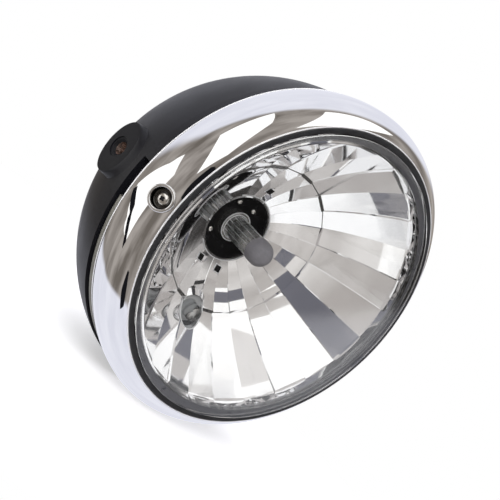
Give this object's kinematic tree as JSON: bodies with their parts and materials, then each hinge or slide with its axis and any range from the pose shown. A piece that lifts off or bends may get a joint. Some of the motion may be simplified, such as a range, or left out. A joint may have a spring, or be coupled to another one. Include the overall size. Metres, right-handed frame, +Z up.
{
  "type": "motorcycle headlight",
  "caption": "Round side-mounted motorcycle headlight: black bowl-shaped bucket, chrome trim ring with a screw cup, clear domed lens over a faceted reflector, main bulb and parking bulb inside.",
  "frame": {"origin": "centre of the bounding box, on the lamp's axis", "axes": "+Y back along the lamp's axis (the lens faces -Y), +Z up, +X out of the right side mount seen from the front"},
  "size_m": [0.1895, 0.1298, 0.188],
  "materials": {
    "satin_black": "satin black enamel",
    "chrome": "bright plated",
    "zinc_steel": "zinc plated",
    "bracket_steel": "pressed and plated",
    "clear_lens": "clear polished",
    "black_rubber": "matt moulded",
    "mirror_coat": "vacuum metallised",
    "black_plastic": "matt moulded",
    "grey_plastic": "matt moulded",
    "bulb_metal": "nickel plated",
    "bulb_glass": "clear",
    "grey_cap": "grey dip coat"
  },
  "bodies": {
    "root": {"bucket_shell": "satin_black", "mount_insert_left": "zinc_steel", "mount_insert_right": "zinc_steel", "cable_grommet": "black_rubber", "trim_ring": "chrome", "ring_screw_left": "zinc_steel", "ring_bracket_left": "bracket_steel", "ring_nut_left": "zinc_steel", "lens": "clear_lens", "lens_gasket": "black_rubber", "reflector": "mirror_coat", "bulb_holder": "black_plastic", "holder_rivets": "zinc_steel", "bulb_base": "bulb_metal", "bulb_glass": "bulb_glass", "bulb_tip_cap": "grey_cap", "bulb_filaments": "bulb_metal", "bulb_terminals": "bulb_metal", "bulb_lock_ring": "bracket_steel", "rubber_boot": "black_rubber", "parking_socket": "grey_plastic", "parking_bulb": "bulb_glass", "unit_clips": "bracket_steel", "ring_hook_right": "bracket_steel"}
  },
  "joints": []
}
